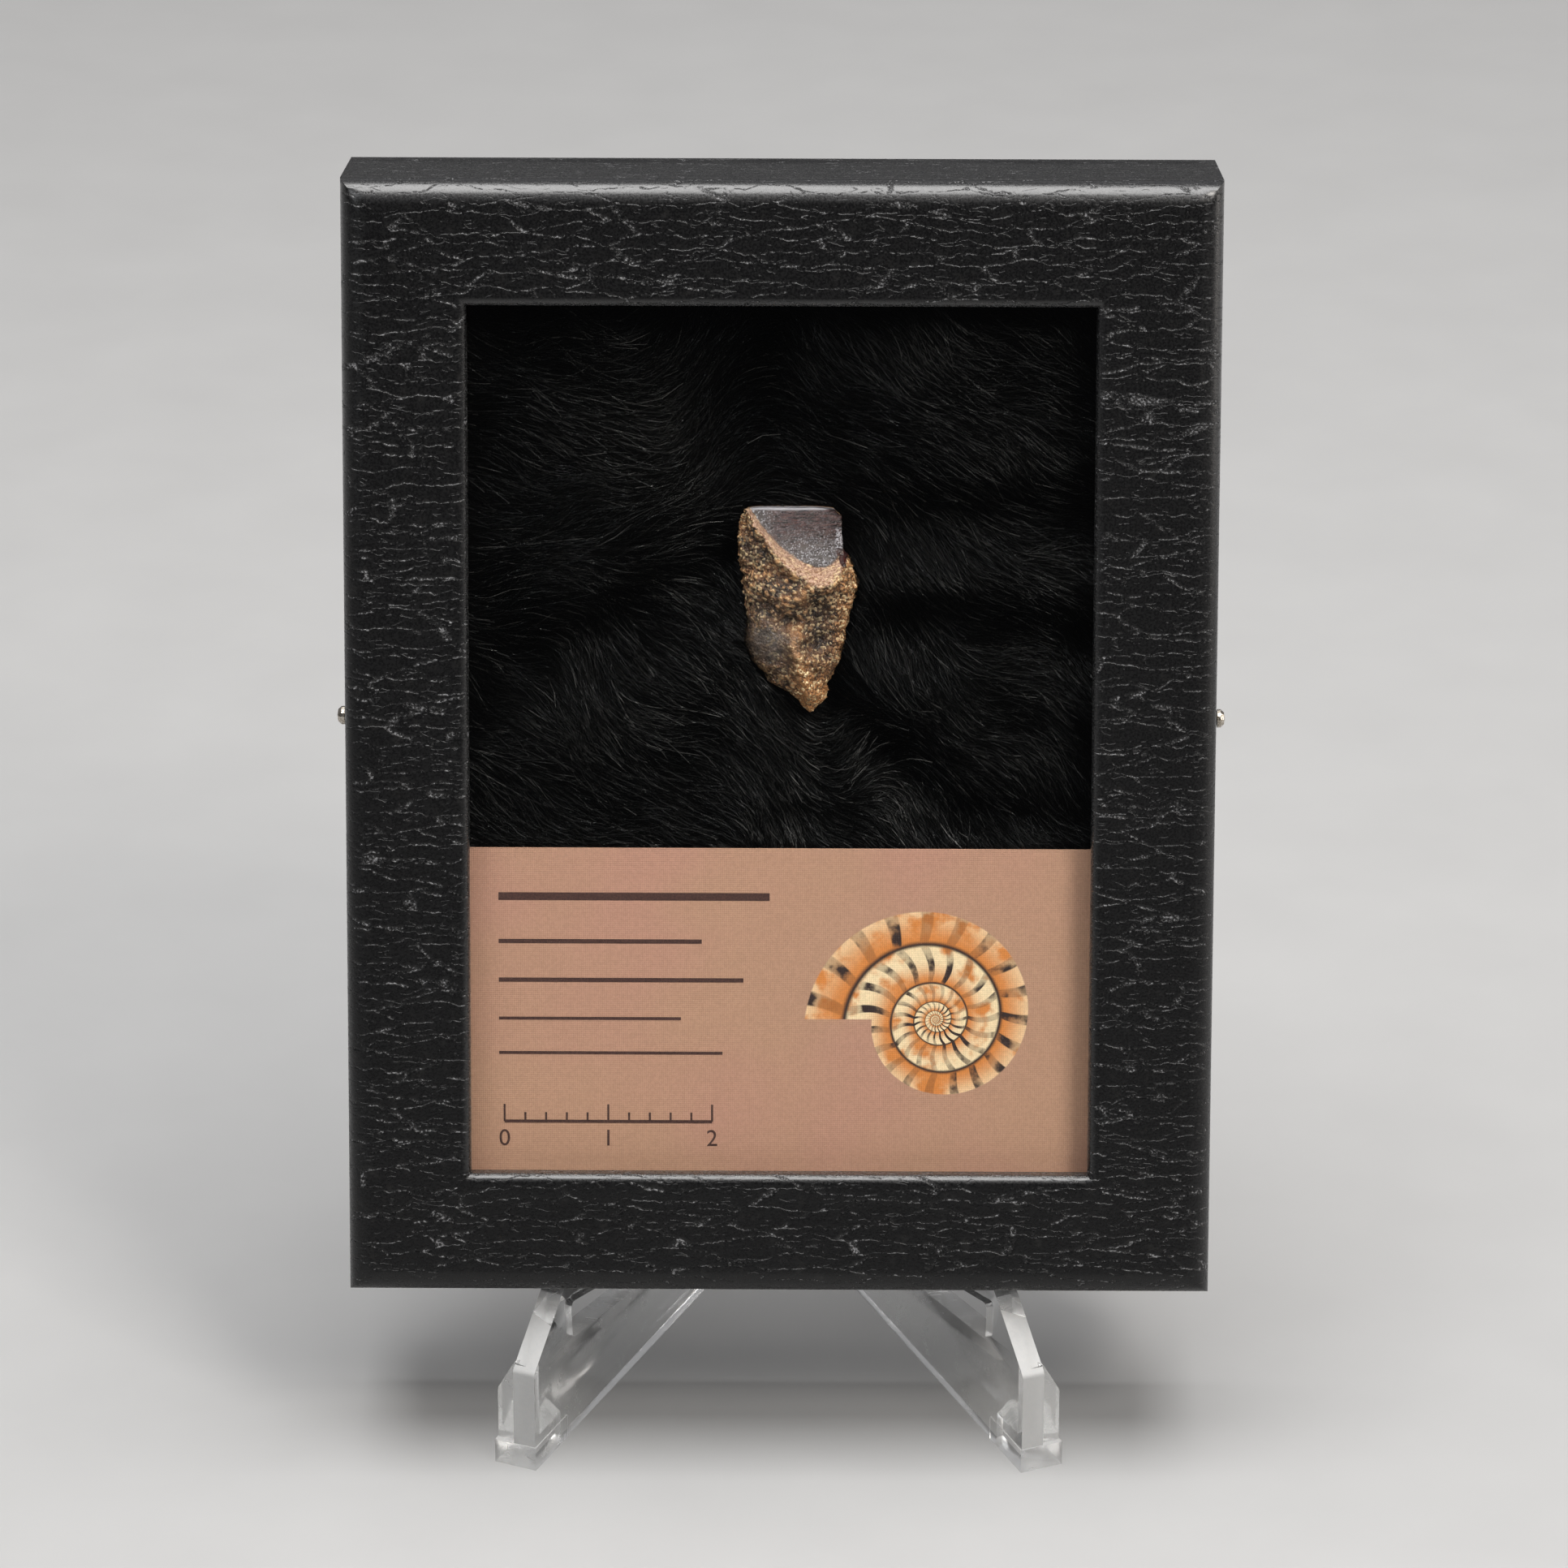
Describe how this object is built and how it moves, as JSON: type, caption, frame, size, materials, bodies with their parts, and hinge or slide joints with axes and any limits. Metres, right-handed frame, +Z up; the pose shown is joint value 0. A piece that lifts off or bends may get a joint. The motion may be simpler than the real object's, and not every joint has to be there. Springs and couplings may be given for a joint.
{
  "type": "fossil triceratops tooth in a display case",
  "caption": "Fossil tooth with dark enamel and rough brown root on black fur in a small glazed black case, leaning on a clear plastic easel.",
  "frame": {"origin": "on the surface it stands on, at the middle of the whole object seen from above", "axes": "+Z up, the glazed front faces -Y and leans back towards +Y, +X to the right seen from the front"},
  "size_m": [0.0854, 0.0632, 0.1221],
  "materials": {
    "leatherette": "black crinkle grain wrap over card, satin",
    "window_glass": "clear, polished",
    "black_card": "matt black",
    "black_fur": "black long pile",
    "printed_card": "tan printed card, satin",
    "fossil": "rough brown root, glossy dark enamel",
    "pin_steel": "bright",
    "clear_plastic": "clear, moulded, sawn edges frosted"
  },
  "bodies": {
    "root": {"lid": "leatherette", "window_glass": "window_glass", "base_tray": "black_card", "fur_bed": "black_fur", "label_card": "printed_card", "tooth": "fossil", "pin_left": "pin_steel", "pin_right": "pin_steel", "easel_leaf_left": "clear_plastic", "easel_leaf_right": "clear_plastic"}
  },
  "joints": []
}
